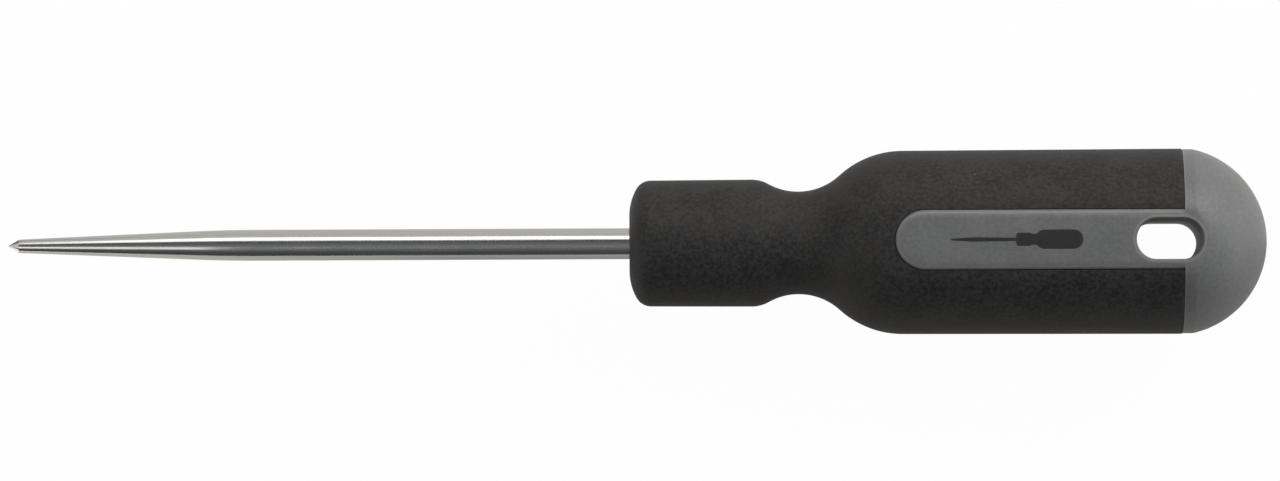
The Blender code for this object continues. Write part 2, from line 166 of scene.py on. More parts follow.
class Shaper:
    """Modelling steps that the pieces share."""

    merge_distance: float = 1e-7
    crown_cuts: int = 9
    roll_margin: float = 1.01
    spare_bend: float = math.radians(2)
    spare_length: float = 0.00002
    normal_weight: int = 50

    @staticmethod
    def spin(profile: Sequence[Point], steps: int, closed: bool) -> bmesh.types.BMesh:
        """Turn a profile a full turn about the awl's axis.

        Args:
            profile: (radius, station) points.
            steps: Number of sides.
            closed: Whether the last point joins the first.

        Returns:
            The turned shape.
        """
        shape = bmesh.new()
        verts = [shape.verts.new((station, 0.0, radius)) for radius, station in profile]
        chain = list(zip(verts, verts[1:]))
        if closed:
            chain.append((verts[-1], verts[0]))
        edges = [shape.edges.new(pair) for pair in chain]
        bmesh.ops.spin(
            shape,
            geom=verts + edges,
            cent=(0.0, 0.0, 0.0),
            axis=(1.0, 0.0, 0.0),
            angle=2 * math.pi,
            steps=steps,
            use_merge=True,
        )
        bmesh.ops.remove_doubles(shape, verts=shape.verts, dist=Shaper.merge_distance)
        bmesh.ops.recalc_face_normals(shape, faces=shape.faces)
        return shape

    @staticmethod
    def strip(
        outline: Sequence[Point],
        low: float,
        high: float,
        roll: float = 0.0,
        depth: float = 0.0,
        segments: int = 1,
    ) -> bmesh.types.BMesh:
        """Raise an outline to a block whose top edge is rolled.

        Args:
            outline: (across, station) points.
            low: Height of the foot over the axis.
            high: Height of the top over the axis.
            roll: Width of the rolled top edge, or 0.
            depth: Its depth.
            segments: Its chords.

        Returns:
            The block.
        """
        shape = bmesh.new()
        base = shape.faces.new([shape.verts.new((x, y, low)) for y, x in outline])
        grown = bmesh.ops.extrude_face_region(shape, geom=[base])
        top = [item for item in grown["geom"] if isinstance(item, bmesh.types.BMVert)]
        bmesh.ops.translate(shape, verts=top, vec=(0.0, 0.0, high - low))
        if roll > 0:
            raised = set(top)
            rim = [edge for edge in shape.edges if raised.issuperset(edge.verts)]
            bmesh.ops.bevel(
                shape,
                geom=rim,
                offset=roll,
                offset_type="OFFSET",
                affect="EDGES",
                segments=segments,
                profile=0.5,
                material=-1,
            )
            for vert in shape.verts:
                if vert.co.z > high - Shaper.roll_margin * roll:
                    vert.co.z = high - (high - vert.co.z) * depth / roll
        bmesh.ops.recalc_face_normals(shape, faces=shape.faces)
        return shape

    @staticmethod
    def rounded_outline(front: float, back: float, width: float, steps: int) -> list[Point]:
        """Return the outline of a strip with a full-radius front end and a square back end."""
        end = arc((0.0, front + width / 2), width / 2, 0.0, -math.pi, steps)
        return end + [(-width / 2, back), (width / 2, back)]

    @staticmethod
    def slot_outline(middle: float, length: float, width: float, steps: int) -> list[Point]:
        """Return the outline of a slot with two full-radius ends.

        Args:
            middle: Station of the slot's middle.
            length: Slot's length.
            width: Slot's width.
            steps: Chords of each end.

        Returns:
            (across, station) points.
        """
        reach = (length - width) / 2
        front = arc((0.0, middle - reach), width / 2, 0.0, -math.pi, steps)
        back = arc((0.0, middle + reach), width / 2, math.pi, 0.0, steps)
        return front + back

    @staticmethod
    def block(low: Sequence[float], high: Sequence[float]) -> bmesh.types.BMesh:
        """Return a box between two corners.

        Args:
            low: Lowest corner.
            high: Highest corner.

        Returns:
            The box.
        """
        shape = bmesh.new()
        bmesh.ops.create_cube(shape, size=1.0)
        bmesh.ops.scale(shape, verts=shape.verts, vec=[b - a for a, b in zip(low, high)])
        bmesh.ops.translate(shape, verts=shape.verts, vec=[(a + b) / 2 for a, b in zip(low, high)])
        return shape

    @staticmethod
    def loft(rings: Sequence[Sequence[Vector]]) -> bmesh.types.BMesh:
        """Join closed rings of equal count into a capped body.

        Args:
            rings: Rings of points, one over another.

        Returns:
            The body.
        """
        shape = bmesh.new()
        loops = []
        for ring in rings:
            verts = [shape.verts.new(point) for point in ring]
            loops.append([shape.edges.new(pair) for pair in zip(verts, verts[1:] + verts[:1])])
            if ring is rings[0] or ring is rings[-1]:
                shape.faces.new(verts)
        for first, second in zip(loops, loops[1:]):
            bmesh.ops.bridge_loops(shape, edges=first + second)
        bmesh.ops.recalc_face_normals(shape, faces=shape.faces)
        return shape

    @staticmethod
    def crown(shape: bmesh.types.BMesh, radius: float, reach: float) -> None:
        """Bend a shape that lies over the axis down to both sides, as a gently crowned panel is.

        Args:
            shape: The shape.
            radius: Radius of the crown.
            reach: Half the width that the crown spans.
        """
        for index in range(-Shaper.crown_cuts, Shaper.crown_cuts + 1):
            bmesh.ops.bisect_plane(
                shape,
                geom=list(shape.verts) + list(shape.edges) + list(shape.faces),
                dist=Shaper.merge_distance,
                plane_co=(0.0, reach * index / (Shaper.crown_cuts + 0.5), 0.0),
                plane_no=(0.0, 1.0, 0.0),
            )
        for vert in shape.verts:
            vert.co.z -= crown_drop(vert.co.y, radius)

    @staticmethod
    def press(shape: bmesh.types.BMesh, height: float, radius: float, softness: float) -> None:
        """Press two crowned flats softly into a round shape, one over and one under the axis.

        Args:
            shape: The round shape.
            height: Height of the flats over the axis.
            radius: Radius of their crown.
            softness: Height over which flat and round blend.
        """
        for vert in shape.verts:
            level = height - crown_drop(vert.co.y, radius)
            size = abs(vert.co.z)
            share = min(max(0.5 + 0.5 * (level - size) / softness, 0.0), 1.0)
            blended = level + (size - level) * share - softness * share * (1 - share)
            vert.co.z = math.copysign(min(blended, size), vert.co.z)

    @staticmethod
    def make_object(name: str, shape: bmesh.types.BMesh) -> bpy.types.Object:
        """Turn a shape into an object at the origin.

        Args:
            name: Object's name.
            shape: The shape, which is freed.

        Returns:
            The object.
        """
        mesh = bpy.data.meshes.new(name)
        shape.to_mesh(mesh)
        shape.free()
        piece = bpy.data.objects.new(name, mesh)
        bpy.context.scene.collection.objects.link(piece)
        return piece

    @staticmethod
    def combine(piece: bpy.types.Object, shape: bmesh.types.BMesh, kind: BooleanKind) -> None:
        """Cut a shape out of a piece, or join it on, and keep the result as the piece's mesh.

        Args:
            piece: The piece that changes.
            shape: The second shape, which is freed.
            kind: Whether to join or to cut.
        """
        other = Shaper.make_object("second_shape", shape)
        step = piece.modifiers.new("step", "BOOLEAN")
        step.operation = kind.value
        step.solver = "EXACT"
        step.object = other
        graph = bpy.context.evaluated_depsgraph_get()
        mesh = bpy.data.meshes.new_from_object(piece.evaluated_get(graph), depsgraph=graph)
        piece.modifiers.clear()
        old = piece.data
        piece.data = mesh
        bpy.data.meshes.remove(old)
        mesh.name = piece.name
        bpy.data.meshes.remove(other.data)

    @staticmethod
    def is_spare(vert: bmesh.types.BMVert) -> bool:
        """Return whether a point only breaks an edge in two that is straight or almost ends there.

        Args:
            vert: The point.

        Returns:
            Whether the point can go.
        """
        if len(vert.link_edges) != 2:
            return False
        ahead, behind = (edge.other_vert(vert).co - vert.co for edge in vert.link_edges)
        bend = math.pi - ahead.angle(behind)
        return bend < Shaper.spare_bend or min(ahead.length, behind.length) < Shaper.spare_length

    @staticmethod
    def finish(piece: bpy.types.Object, place: Matrix, sharp: float) -> None:
        """Move a piece's mesh to its place in the frame and set how its faces are shaded.

        Args:
            piece: The piece.
            place: Move from the awl's axis to the frame.
            sharp: Angle in radians above which an edge stays sharp.
        """
        shape = bmesh.new()
        shape.from_mesh(piece.data)
        bmesh.ops.dissolve_degenerate(shape, dist=Shaper.merge_distance, edges=shape.edges)
        spare = [vert for vert in shape.verts if Shaper.is_spare(vert)]
        bmesh.ops.dissolve_verts(shape, verts=spare)
        shape.to_mesh(piece.data)
        shape.free()
        piece.data.transform(place)
        piece.data.shade_smooth()
        piece.data.set_sharp_from_angle(angle=sharp)
        even = piece.modifiers.new("even_normals", "WEIGHTED_NORMAL")
        even.keep_sharp = True
        even.weight = Shaper.normal_weight


@dataclass(frozen=True)
class Bump:
    """How strongly and how deep, in metres, a height shows in a finish."""

    strength: float
    depth: float


class NodeMaker:
    """Adds nodes to one node tree and joins them."""

    # A Mix node's colour sockets share their names with its other ones, so they go by number.
    mix_colours: tuple[int, int] = (6, 7)
    mix_result: int = 2

    def __init__(self, tree: bpy.types.NodeTree) -> None:
        """Keep the tree to add to."""
        self.tree = tree

    def add(self, kind: str, **settings: object) -> bpy.types.Node:
        """Add a node.

        Args:
            kind: Node's type name.
            **settings: Properties to set on it.

        Returns:
            The node.
        """
        node = self.tree.nodes.new(kind)
        for key, value in settings.items():
            setattr(node, key, value)
        return node

    def feed(self, target: bpy.types.NodeSocket, source: Feed) -> None:
        """Join an input to a source, or set it to a constant.

        Args:
            target: The input.
            source: A socket, a number, or three numbers.
        """
        if isinstance(source, bpy.types.NodeSocket):
            self.tree.links.new(source, target)
        elif target.type == "RGBA":
            target.default_value = (*source, 1.0)
        else:
            target.default_value = source

    def math(self, operation: str, *values: Feed, clamp: bool = False) -> bpy.types.NodeSocket:
        """Work out a value from others.

        Args:
            operation: Math node's operation.
            *values: The other values.
            clamp: Whether the result stays between 0 and 1.

        Returns:
            The result socket.
        """
        node = self.add("ShaderNodeMath", operation=operation, use_clamp=clamp)
        for target, value in zip(node.inputs, values):
            self.feed(target, value)
        return node.outputs[0]

    def spread(
        self, value: Feed, result: Span = UNIT, source: Span = UNIT, smooth: bool = False
    ) -> bpy.types.NodeSocket:
        """Map a value from one range to another, and keep it there.

        Args:
            value: The value.
            result: Results at the range's start and end.
            source: Values at the range's start and end.
            smooth: Whether the change eases in and out.

        Returns:
            The result socket.
        """
        node = self.add("ShaderNodeMapRange")
        if smooth:
            node.interpolation_type = "SMOOTHSTEP"
        names = ("From Min", "From Max", "To Min", "To Max")
        for name, number in zip(names, (*source, *result)):
            self.feed(node.inputs[name], number)
        self.feed(node.inputs["Value"], value)
        return node.outputs["Result"]

    def blend(self, share: Feed, first: Feed, second: Feed) -> bpy.types.NodeSocket:
        """Mix two colours.

        Args:
            share: Share of the second colour.
            first: First colour.
            second: Second colour.

        Returns:
            The colour socket.
        """
        node = self.add("ShaderNodeMix", data_type="RGBA")
        self.feed(node.inputs["Factor"], share)
        for index, colour in zip(self.mix_colours, (first, second)):
            self.feed(node.inputs[index], colour)
        return node.outputs[self.mix_result]


class EffectGroup(NodeMaker):
    """A shader node group that puts out values, masks or heights for several finishes."""

    def __init__(self, name: str, inputs: Sequence[str], outputs: Sequence[str]) -> None:
        """Make an empty group.

        Args:
            name: Group's name.
            inputs: Names of its value inputs, after the vector.
            outputs: Names of its value outputs.
        """
        super().__init__(bpy.data.node_groups.new(name, "ShaderNodeTree"))
        face = self.tree.interface
        face.new_socket("Vector", in_out="INPUT", socket_type="NodeSocketVector")
        for item in inputs:
            face.new_socket(item, in_out="INPUT", socket_type="NodeSocketFloat")
        for item in outputs:
            face.new_socket(item, in_out="OUTPUT", socket_type="NodeSocketFloat")
        self.start = self.add("NodeGroupInput")
        self.end = self.add("NodeGroupOutput")

    def take(self, name: str) -> bpy.types.NodeSocket:
        """Return one of the group's inputs."""
        return self.start.outputs[name]

    def give(self, name: str, source: bpy.types.NodeSocket) -> None:
        """Feed one of the group's outputs."""
        self.feed(self.end.inputs[name], source)

    def split(self) -> bpy.types.Node:
        """Split the group's vector.

        Returns:
            The node with the outputs X, Y and Z.
        """
        node = self.add("ShaderNodeSeparateXYZ")
        self.feed(node.inputs[0], self.take("Vector"))
        return node

    def noise(
        self, vector: bpy.types.NodeSocket, detail: float, roughness: float
    ) -> bpy.types.NodeSocket:
        """Add a noise whose scale is the group's Scale.

        Args:
            vector: Where the noise reads its place.
            detail: Octaves.
            roughness: Share of the fine octaves.

        Returns:
            The noise's value.
        """
        node = self.add("ShaderNodeTexNoise")
        values = {
            "Vector": vector,
            "Scale": self.take("Scale"),
            "Detail": detail,
            "Roughness": roughness,
        }
        for name, value in values.items():
            self.feed(node.inputs[name], value)
        return node.outputs["Fac"]

    def cells(self, feature: str) -> bpy.types.Node:
        """Add cells whose scale is the group's Scale.

        Args:
            feature: The cell texture's feature.

        Returns:
            The texture node.
        """
        node = self.add("ShaderNodeTexVoronoi", feature=feature)
        for name in ("Vector", "Scale"):
            self.feed(node.inputs[name], self.take(name))
        return node


class Effects:
    """The shared effects, each made once."""

    pore_depth: float = -0.55
    cloud_span: Span = (0.35, 0.65)
    streak_squeeze: tuple[float, float, float] = (0.012, 1.0, 1.0)
    streak_span: Span = (0.3, 0.7)
    wall_span: Span = (0.00022, 0.00004)
    rim_offset: float = 0.00046
    rim_span: Span = (0.00026, 0.00004)
    end_span: Span = (0.0004, 0.0034)
    speck_rarity: float = 0.93
    speck_radius: float = 0.06

    def __init__(self) -> None:
        """Make the groups."""
        self.grain = self._grain()
        self.cloud = self._cloud()
        self.streaks = self._streaks()
        self.lines = self._lines()
        self.specks = self._specks()
        self.edge_shade_highlight = self._edge_shade_highlight()

    def _grain(self) -> bpy.types.NodeTree:
        """Make fine even grain: Value about 0.5, and Height for a bump.

        Returns:
            The group's tree.
        """
        group = EffectGroup("fine_grain", ["Scale", "Contrast"], ["Value", "Height"])
        noise = group.noise(group.take("Vector"), detail=2.0, roughness=0.6)
        centred = group.math("SUBTRACT", noise, 0.5)
        group.give("Value", group.math("MULTIPLY_ADD", centred, group.take("Contrast"), 0.5))
        pores = group.cells("SMOOTH_F1").outputs["Distance"]
        group.give("Height", group.math("MULTIPLY_ADD", pores, self.pore_depth, noise))
        return group.tree

    def _cloud(self) -> bpy.types.NodeTree:
        """Make slow cloudy variation from 0 to 1.

        Returns:
            The group's tree.
        """
        group = EffectGroup("slow_cloud", ["Scale"], ["Value"])
        noise = group.noise(group.take("Vector"), detail=3.0, roughness=0.5)
        group.give("Value", group.spread(noise, source=self.cloud_span))
        return group.tree

    def _streaks(self) -> bpy.types.NodeTree:
        """Make fine marks drawn out along X: Value from 0 to 1, and Height for a bump.

        Returns:
            The group's tree.
        """
        group = EffectGroup("drawn_streaks", ["Scale"], ["Value", "Height"])
        squeeze = group.add("ShaderNodeVectorMath", operation="MULTIPLY")
        group.feed(squeeze.inputs[0], group.take("Vector"))
        group.feed(squeeze.inputs[1], self.streak_squeeze)
        noise = group.noise(squeeze.outputs["Vector"], detail=4.0, roughness=0.65)
        group.give("Value", group.spread(noise, source=self.streak_span))
        group.give("Height", noise)
        return group.tree

    def _lines(self) -> bpy.types.NodeTree:
        """Make masks of two thin lines: Ring where X is at Level, and Seam where Z is.

        Returns:
            The group's tree.
        """
        group = EffectGroup("mould_lines", ["Level", "Width"], ["Ring", "Seam"])
        parts = group.split()
        for axis, name in (("X", "Ring"), ("Z", "Seam")):
            offset = group.math("SUBTRACT", parts.outputs[axis], group.take("Level"))
            size = group.math("ABSOLUTE", offset)
            share = group.math("DIVIDE", size, group.take("Width"), clamp=True)
            group.give(name, group.math("SUBTRACT", 1.0, share, clamp=True))
        return group.tree

    def _edge_shade_highlight(self) -> bpy.types.NodeTree:
        """Make masks for a long round-ended outline: Wall inside it, and Rim just outside it.

        Wall marks where shade is painted and Rim where a highlight line is painted; Rim fades out
        just before X reaches End.

        Returns:
            The group's tree.
        """
        group = EffectGroup("edge_shade_highlight", ["Middle", "Reach", "Radius", "End"], ["Wall", "Rim"])
        parts = group.split()
        along = group.math("SUBTRACT", parts.outputs["X"], group.take("Middle"))
        past = group.math("SUBTRACT", group.math("ABSOLUTE", along), group.take("Reach"))
        join = group.add("ShaderNodeCombineXYZ")
        group.feed(join.inputs["X"], group.math("MAXIMUM", past, 0.0))
        group.feed(join.inputs["Y"], parts.outputs["Y"])
        length = group.add("ShaderNodeVectorMath", operation="LENGTH")
        group.feed(length.inputs[0], join.outputs[0])
        gap = group.math("SUBTRACT", length.outputs["Value"], group.take("Radius"))
        group.give("Wall", group.spread(gap, source=self.wall_span, smooth=True))
        near = group.math("ABSOLUTE", group.math("SUBTRACT", gap, self.rim_offset))
        rim = group.spread(near, source=self.rim_span, smooth=True)
        left = group.math("SUBTRACT", group.take("End"), parts.outputs["X"])
        before = group.spread(left, source=self.end_span)
        group.give("Rim", group.math("MULTIPLY", rim, before))
        return group.tree

    def _specks(self) -> bpy.types.NodeTree:
        """Make a mask of rare small specks of lint.

        Returns:
            The group's tree.
        """
        group = EffectGroup("rare_specks", ["Scale"], ["Mask"])
        cells = group.cells("F1")
        draw = group.add("ShaderNodeSeparateColor")
        group.feed(draw.inputs[0], cells.outputs["Color"])
        chosen = group.math("GREATER_THAN", draw.outputs[0], self.speck_rarity)
        near = group.math("LESS_THAN", cells.outputs["Distance"], self.speck_radius)
        group.give("Mask", group.math("MULTIPLY", chosen, near))
        return group.tree


class MaterialBuilder(NodeMaker):
    """A material with its Principled shader, read from the piece's own coordinates."""

    def __init__(self, name: str) -> None:
        """Start a material.

        Args:
            name: Material's name.
        """
        self.material = bpy.data.materials.new(name)
        self.material.use_nodes = True
        super().__init__(self.material.node_tree)
        self.shader = self.tree.nodes["Principled BSDF"]
        self.place = self.add("ShaderNodeTexCoord").outputs["Object"]

    def effect(self, tree: bpy.types.NodeTree, **values: float) -> bpy.types.Node:
        """Add a shared effect that reads the piece's own coordinates.

        Args:
            tree: The effect's group.
            **values: Its value inputs.

        Returns:
            The group node.
        """
        node = self.add("ShaderNodeGroup", node_tree=tree)
        self.feed(node.inputs["Vector"], self.place)
        for key, value in values.items():
            self.feed(node.inputs[key], value)
        return node

    def clouded(
        self, value: bpy.types.NodeSocket, cloud: bpy.types.NodeSocket, share: float
    ) -> bpy.types.NodeSocket:
        """Let a value rise and fall with a cloud by a share, evenly about where it was."""
        raised = self.math("MULTIPLY_ADD", cloud, share, value)
        return self.math("SUBTRACT", raised, share / 2)

    def bump(self, height: bpy.types.NodeSocket, size: Bump) -> None:
        """Add a bump over the ones that the shader's normal has already.

        Args:
            height: Height socket.
            size: The bump's strength and depth.
        """
        node = self.add("ShaderNodeBump")
        self.feed(node.inputs["Strength"], size.strength)
        self.feed(node.inputs["Distance"], size.depth)
        self.feed(node.inputs["Height"], height)
        normal = self.shader.inputs["Normal"]
        if normal.is_linked:
            self.feed(node.inputs["Normal"], normal.links[0].from_socket)
        self.feed(normal, node.outputs["Normal"])

    def drive(self, name: str, source: Feed) -> None:
        """Feed or set one of the shader's inputs."""
        self.feed(self.shader.inputs[name], source)


@dataclass(frozen=True)
class RubberFinish:
    """Black soft rubber with a fine matt mould texture."""

    dark: Colour = (0.0071, 0.0064, 0.0066)
    pale: Colour = (0.0302, 0.0286, 0.0283)
    lint: Colour = (0.044, 0.045, 0.043)
    grain_scale: float = 1600.0
    grain_contrast: float = 3.2
    pore_scale: float = 5200.0
    pore_contrast: float = 1.2
    cloud_scale: float = 210.0
    cloud_share: float = 0.26
    speck_scale: float = 240.0
    line_width: float = 0.00009
    roughness: Span = (0.56, 0.74)
    specular: float = 0.34
    grain_bump: Bump = Bump(0.42, 0.00008)
    pore_bump: Bump = Bump(0.35, 0.00004)
    line_bump: Bump = Bump(0.8, 0.00005)

    def make(self, effects: Effects, datum: Datum) -> bpy.types.Material:
        """Return the material.

        Args:
            effects: Shared effects.
            datum: Part's datum, for the parting line's level.

        Returns:
            The finished material.
        """
        build = MaterialBuilder("soft_black_rubber")
        grain = build.effect(effects.grain, Scale=self.grain_scale, Contrast=self.grain_contrast)
        pores = build.effect(effects.grain, Scale=self.pore_scale, Contrast=self.pore_contrast)
        cloud = build.effect(effects.cloud, Scale=self.cloud_scale)
        specks = build.effect(effects.specks, Scale=self.speck_scale)
        line = build.effect(effects.lines, Level=datum.axis_z, Width=self.line_width)
        share = build.clouded(grain.outputs["Value"], cloud.outputs["Value"], self.cloud_share)
        colour = build.blend(share, self.dark, self.pale)
        build.drive("Base Color", build.blend(specks.outputs["Mask"], colour, self.lint))
        build.drive("Roughness", build.spread(grain.outputs["Value"], self.roughness))
        build.drive("Specular IOR Level", self.specular)
        build.bump(grain.outputs["Height"], self.grain_bump)
        build.bump(pores.outputs["Height"], self.pore_bump)
        build.bump(line.outputs["Seam"], self.line_bump)
        return build.material


@dataclass(frozen=True)
class GreyFinish:
    """Hard grey plastic with a fine satin mould texture, with highlights painted along its edges
    and shade painted on the slot's wall.
    """

    dark: Colour = (0.109, 0.113, 0.115)
    pale: Colour = (0.139, 0.143, 0.144)
    # A painted highlight colour, for edges that catch the light.
    painted_highlight: Colour = (0.200, 0.200, 0.188)
    # Painted shade, for the slot's wall.
    shaded: Colour = (0.125, 0.124, 0.108)
    grain_scale: float = 1600.0
    grain_contrast: float = 2.6
    cloud_scale: float = 180.0
    cloud_share: float = 0.3
    line_width: float = 0.00006
    seam_offset: float = 0.00013
    seam_width: float = 0.00017
    seam_share: float = 0.75
    lip_share: float = 0.85
    rim_highlight_width: float = 0.00090
    rim_highlight_share: float = 0.5
    roughness: Span = (0.38, 0.46)
    wall_roughness: float = 0.14
    grain_bump: Bump = Bump(0.22, 0.00004)
    line_bump: Bump = Bump(0.6, 0.00004)

    def make(self, effects: Effects, datum: Datum, body: "HardBody") -> bpy.types.Material:
        """Return the material.

        Args:
            effects: Shared effects.
            datum: Part's datum, for the parting line's level.
            body: The body that wears it, for the places of its slot and seam.

        Returns:
            The finished material.
        """
        build = MaterialBuilder("satin_grey_plastic")
        grain = build.effect(effects.grain, Scale=self.grain_scale, Contrast=self.grain_contrast)
        cloud = build.effect(effects.cloud, Scale=self.cloud_scale)
        line = build.effect(effects.lines, Level=datum.axis_z, Width=self.line_width)
        end = datum.face_x + body.skin.seam
        # A thin ring at the cap seam, where a highlight line is painted.
        seam = build.effect(effects.lines, Level=end + self.seam_offset, Width=self.seam_width)
        # The slot's masks: shade painted on its wall and a highlight painted round its lip.
        lip = build.effect(
            effects.edge_shade_highlight,
            Middle=datum.dome_x - body.slot_inset,
            Reach=(body.slot_length - body.slot_width) / 2,
            Radius=body.slot_width / 2,
            End=datum.dome_x,
        )
        front = datum.face_x + body.panel_front
        # The panel's rim mask, where a highlight is painted along the panel's edges.
        rim_highlight = build.effect(
            effects.edge_shade_highlight,
            Middle=(front + datum.dome_x) / 2,
            Reach=(datum.dome_x - front - body.panel_width) / 2,
            Radius=body.panel_width / 2 - self.rim_highlight_width,
            End=end,
        )
        share = build.clouded(grain.outputs["Value"], cloud.outputs["Value"], self.cloud_share)
        colour = build.blend(share, self.dark, self.pale)
        # Each mask paints the lighter highlight colour where an edge would catch the light: the cap
        # seam, the slot's lip and the panel's rim.
        masks = (
            (seam.outputs["Ring"], self.seam_share),
            (lip.outputs["Rim"], self.lip_share),
            (rim_highlight.outputs["Rim"], self.rim_highlight_share),
        )
        for mask, most in masks:
            colour = build.blend(build.math("MULTIPLY", mask, most), colour, self.painted_highlight)
        # The slot's wall takes the shaded colour: shade painted inside the slot.
        build.drive("Base Color", build.blend(lip.outputs["Wall"], colour, self.shaded))
        satin = build.spread(cloud.outputs["Value"], self.roughness)
        dulled = build.spread(lip.outputs["Wall"], (0.0, self.wall_roughness))
        build.drive("Roughness", build.math("ADD", satin, dulled))
        build.bump(grain.outputs["Height"], self.grain_bump)
        build.bump(line.outputs["Seam"], self.line_bump)
        return build.material


@dataclass(frozen=True)
class SteelFinish:
    """Bright ground steel with fine marks along the bar."""

    dark: Colour = (0.47, 0.468, 0.465)
    pale: Colour = (0.54, 0.54, 0.535)
    streak_scale: float = 7200.0
    cloud_scale: float = 160.0
    roughness: Span = (0.13, 0.17)
    cloud_roughness: float = 0.03
    streak_bump: Bump = Bump(0.08, 0.000004)

    def make(self, effects: Effects) -> bpy.types.Material:
        """Return the material.

        Args:
            effects: Shared effects.

        Returns:
            The finished material.
        """
        build = MaterialBuilder("bright_ground_steel")
        streaks = build.effect(effects.streaks, Scale=self.streak_scale)
        cloud = build.effect(effects.cloud, Scale=self.cloud_scale)
        build.drive("Base Color", build.blend(streaks.outputs["Value"], self.dark, self.pale))
        rough = build.spread(streaks.outputs["Value"], self.roughness)
        soft = build.spread(cloud.outputs["Value"], (0.0, self.cloud_roughness))
        build.drive("Roughness", build.math("ADD", rough, soft))
        build.drive("Metallic", 1.0)
        build.bump(streaks.outputs["Height"], self.streak_bump)
        return build.material


@dataclass(frozen=True)
class CoreFinish:
    """Plain dark core plastic with faint flow marks."""

    dark: Colour = (0.075, 0.075, 0.076)
    pale: Colour = (0.100, 0.100, 0.098)
    cloud_scale: float = 220.0
    grain_scale: float = 3000.0
    grain_contrast: float = 1.0
    roughness: Span = (0.45, 0.6)
    grain_bump: Bump = Bump(0.3, 0.00004)

    def make(self, effects: Effects) -> bpy.types.Material:
        """Return the material.

        Args:
            effects: Shared effects.

        Returns:
            The finished material.
        """
        build = MaterialBuilder("core_plastic")
        cloud = build.effect(effects.cloud, Scale=self.cloud_scale)
        grain = build.effect(effects.grain, Scale=self.grain_scale, Contrast=self.grain_contrast)
        build.drive("Base Color", build.blend(cloud.outputs["Value"], self.dark, self.pale))
        build.drive("Roughness", build.spread(grain.outputs["Value"], self.roughness))
        build.bump(grain.outputs["Height"], self.grain_bump)
        return build.material


@dataclass(frozen=True)
class InkFinish:
    """Black printing ink, thin and slightly uneven."""

    dark: Colour = (0.010, 0.010, 0.011)
    pale: Colour = (0.022, 0.022, 0.023)
    grain_scale: float = 4200.0
    grain_contrast: float = 1.4
    roughness: Span = (0.38, 0.5)
    grain_bump: Bump = Bump(0.2, 0.00002)

    def make(self, effects: Effects) -> bpy.types.Material:
        """Return the material.

        Args:
            effects: Shared effects.

        Returns:
            The finished material.
        """
        build = MaterialBuilder("black_ink")
        grain = build.effect(effects.grain, Scale=self.grain_scale, Contrast=self.grain_contrast)
        build.drive("Base Color", build.blend(grain.outputs["Value"], self.dark, self.pale))
        build.drive("Roughness", build.spread(grain.outputs["Value"], self.roughness))
        build.bump(grain.outputs["Height"], self.grain_bump)
        return build.material


